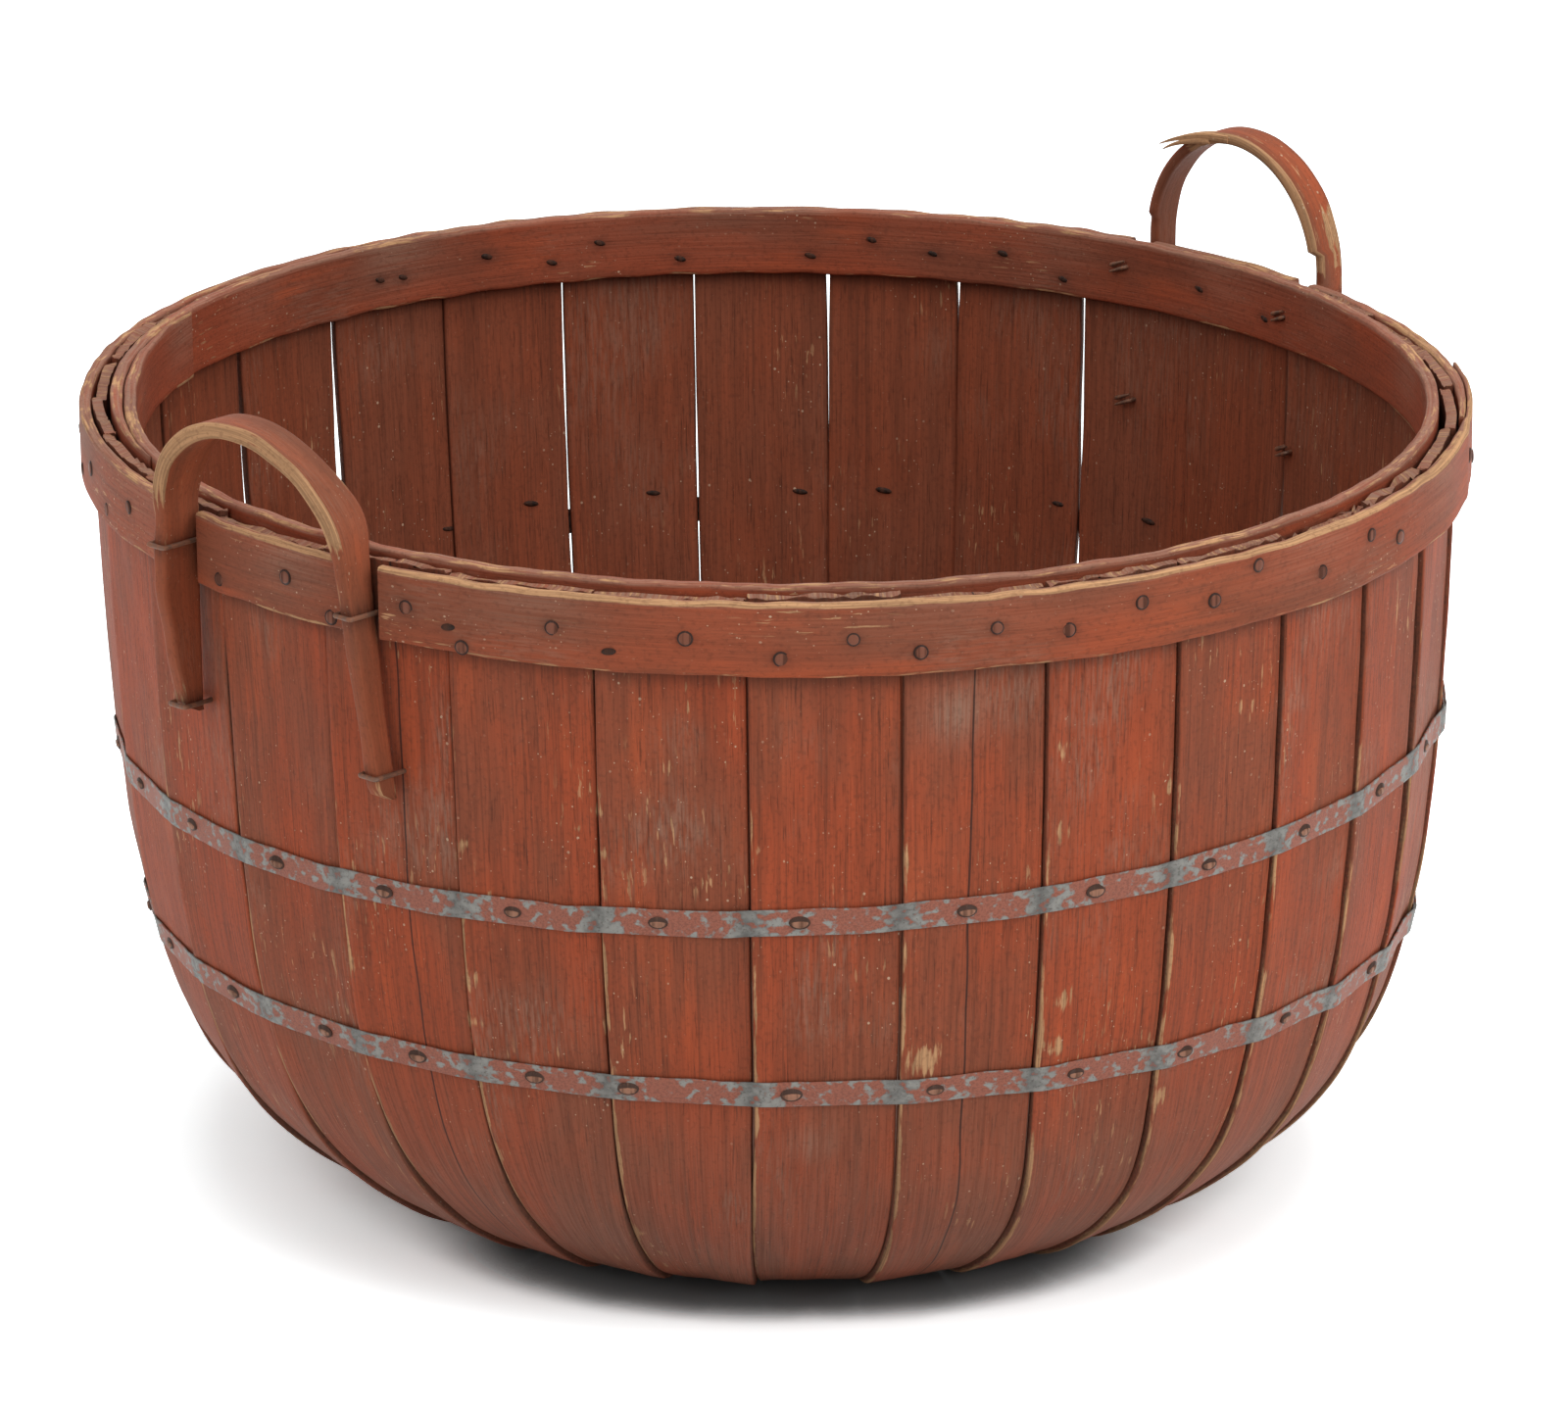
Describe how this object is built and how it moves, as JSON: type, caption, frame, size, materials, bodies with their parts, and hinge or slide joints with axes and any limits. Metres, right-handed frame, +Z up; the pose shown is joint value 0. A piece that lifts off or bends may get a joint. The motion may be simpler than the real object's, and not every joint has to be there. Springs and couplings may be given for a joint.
{
  "type": "stave gathering basket",
  "caption": "Round painted stave basket with a rounded bottom, bent wooden rim hoops, strap-metal bands and a bent wooden handle stapled to each side of the rim.",
  "frame": {"origin": "under the middle of the bottom, on the surface that the basket stands on", "axes": "+Z up through the open top, +X towards the far handle, -X towards the near handle, +Y along the rim, square to the line between the handles"},
  "size_m": [0.6761, 0.6762, 0.4315],
  "materials": {
    "painted_wood": "worn brick-red paint over pale wood",
    "inner_wood": "dull dark red paint, dusty",
    "strap_metal": "dull zinc with rest of red paint",
    "wire": "dark rust"
  },
  "bodies": {
    "root": {"stave_01": "painted_wood", "stave_02": "painted_wood", "stave_03": "painted_wood", "stave_04": "painted_wood", "stave_05": "painted_wood", "stave_06": "painted_wood", "stave_07": "painted_wood", "stave_08": "painted_wood", "stave_09": "painted_wood", "stave_10": "painted_wood", "stave_11": "painted_wood", "stave_12": "painted_wood", "stave_13": "painted_wood", "stave_14": "painted_wood", "stave_15": "painted_wood", "stave_16": "painted_wood", "stave_17": "painted_wood", "stave_18": "painted_wood", "stave_19": "painted_wood", "stave_20": "painted_wood", "stave_21": "painted_wood", "stave_22": "painted_wood", "stave_23": "painted_wood", "stave_24": "painted_wood", "stave_25": "painted_wood", "stave_26": "painted_wood", "stave_27": "painted_wood", "stave_28": "painted_wood", "stave_29": "painted_wood", "stave_30": "painted_wood", "inner_hoop": "inner_wood", "outer_hoop_front": "painted_wood", "outer_hoop_right": "painted_wood", "outer_hoop_far": "painted_wood", "outer_hoop_rear": "painted_wood", "outer_hoop_near": "painted_wood", "near_handle": "painted_wood", "far_handle": "painted_wood", "near_handle_left_upper_staple": "wire", "near_handle_left_lower_staple": "wire", "near_handle_right_upper_staple": "wire", "near_handle_right_lower_staple": "wire", "far_handle_left_upper_staple": "wire", "far_handle_left_lower_staple": "wire", "far_handle_right_upper_staple": "wire", "far_handle_right_lower_staple": "wire", "upper_band": "strap_metal", "lower_band": "strap_metal", "bottom_board": "inner_wood"}
  },
  "joints": []
}
